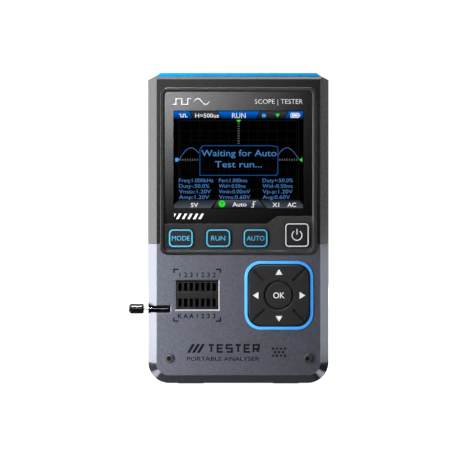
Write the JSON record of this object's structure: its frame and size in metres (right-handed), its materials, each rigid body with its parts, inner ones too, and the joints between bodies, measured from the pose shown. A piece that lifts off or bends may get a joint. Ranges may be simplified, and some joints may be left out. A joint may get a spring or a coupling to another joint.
{
  "type": "component tester",
  "caption": "Handheld component tester and oscilloscope with colour display, fascia keys, four-way pad, lever-operated test socket and probe jacks on its top end.",
  "frame": {"origin": "on the plane that the two foot pads stand on, midway across the case's width, at the middle of its thickness", "axes": "+Z along the case towards the top end with the jacks, +X to the right of the front face, -Y out of the front face"},
  "size_m": [0.0895, 0.0274, 0.1392],
  "materials": {
    "case_black": "satin",
    "case_grey": "satin metallic paint",
    "bezel_black": "satin",
    "window": "clear gloss",
    "mask_ink": "black print",
    "foam": "foam",
    "display": "dark glass",
    "light_white": "satin",
    "flex": "satin",
    "connector": "matt",
    "key_black": "soft touch",
    "plunger": "satin",
    "ring_blue": "satin",
    "rocker_black": "soft touch",
    "silicone": "matt",
    "switch_metal": "satin",
    "socket_black": "satin",
    "gold": "gold plated",
    "steel": "polished",
    "knob_black": "satin gloss",
    "board": "solder mask",
    "chip": "matt",
    "can": "satin",
    "cell": "foil wrap",
    "tape": "foam tape",
    "lead_red": "satin",
    "lead_black": "satin",
    "cap_blue": "satin gloss",
    "ptfe": "satin",
    "screw_dark": "black oxide",
    "foot_rubber": "matt",
    "label": "printed film"
  },
  "bodies": {
    "case": {"upper_cover": "case_black", "lower_cover": "case_grey", "rear_cover": "case_black", "bezel": "bezel_black", "lens": "window", "lens_mask": "mask_ink", "display_gasket": "foam", "lcd_panel": "display", "lcd_backlight": "light_white", "display_foam": "foam", "lcd_ribbon": "flex", "lcd_connector": "connector", "dpad_ring": "ring_blue", "rocker_plungers": "plunger", "dpad_pedestal": "silicone", "switch_bodies": "switch_metal", "zif_base": "socket_black", "zif_cover": "socket_black", "zif_contacts": "gold", "main_board": "board", "main_chip": "chip", "board_chips": "chip", "shield_can": "can", "sounder": "chip", "battery": "cell", "battery_tape": "tape", "battery_lead_red": "lead_red", "battery_lead_black": "lead_black", "battery_plug": "ptfe", "battery_socket": "connector", "top_end_cap": "cap_blue", "generator_jack": "gold", "generator_insulator": "ptfe", "generator_contact": "gold", "probe_jack": "gold", "probe_insulator": "ptfe", "probe_contact": "gold", "usb_shell": "can", "usb_tongue": "chip", "front_screws": "screw_dark", "rear_screws": "screw_dark", "bottom_feet": "foot_rubber", "rear_label": "label"},
    "mode_key": {"mode_key": "key_black", "mode_plunger": "plunger"},
    "run_key": {"run_key": "key_black", "run_plunger": "plunger"},
    "auto_key": {"auto_key": "key_black", "auto_plunger": "plunger"},
    "power_key": {"power_key": "key_black", "power_plunger": "plunger"},
    "ok_key": {"ok_key": "rocker_black", "ok_plunger": "plunger"},
    "gimbal": {"gimbal_ring": "silicone"},
    "rocker": {"rocker": "rocker_black"},
    "lever": {"zif_lever": "steel", "zif_knob": "knob_black", "zif_cam": "steel"},
    "slider": {"zif_slider": "socket_black"}
  },
  "joints": [
    {"name": "mode_press", "type": "slide", "parent": "case", "child": "mode_key", "axis": [0, 1, 0], "range_m": [0, 0.0004], "stiffness_N_per_m": 4000, "springref_m": -0.0001},
    {"name": "run_press", "type": "slide", "parent": "case", "child": "run_key", "axis": [0, 1, 0], "range_m": [0, 0.0004], "stiffness_N_per_m": 4000, "springref_m": -0.0001},
    {"name": "auto_press", "type": "slide", "parent": "case", "child": "auto_key", "axis": [0, 1, 0], "range_m": [0, 0.0004], "stiffness_N_per_m": 4000, "springref_m": -0.0001},
    {"name": "power_press", "type": "slide", "parent": "case", "child": "power_key", "axis": [0, 1, 0], "range_m": [0, 0.0004], "stiffness_N_per_m": 4000, "springref_m": -0.0001},
    {"name": "ok_press", "type": "slide", "parent": "case", "child": "ok_key", "axis": [0, 1, 0], "range_m": [0, 0.0004], "stiffness_N_per_m": 4000, "springref_m": -0.0001},
    {"name": "rocker_left_right", "type": "hinge", "parent": "case", "child": "gimbal", "pos_m": [0.018, -0.0094, 0.0399], "axis": [0, 0, 1], "range_deg": [-2, 2], "stiffness_Nm_per_rad": 1},
    {"name": "rocker_up_down", "type": "hinge", "parent": "gimbal", "child": "rocker", "pos_m": [0.018, -0.0108, 0.0399], "axis": [1, 0, 0], "range_deg": [-2, 2], "stiffness_Nm_per_rad": 1},
    {"name": "lever_turn", "type": "hinge", "parent": "case", "child": "lever", "pos_m": [-0.0313, -0.0086, 0.0399], "axis": [0, 0, 1], "range_deg": [0, 90]},
    {"name": "slider_shift", "type": "slide", "parent": "case", "child": "slider", "axis": [1, 0, 0], "range_m": [0, 0.0008]}
  ],
  "couplings": [
    {"joint": "lever_turn", "follows": "slider_shift", "rad_per_m": 1963.5}
  ]
}
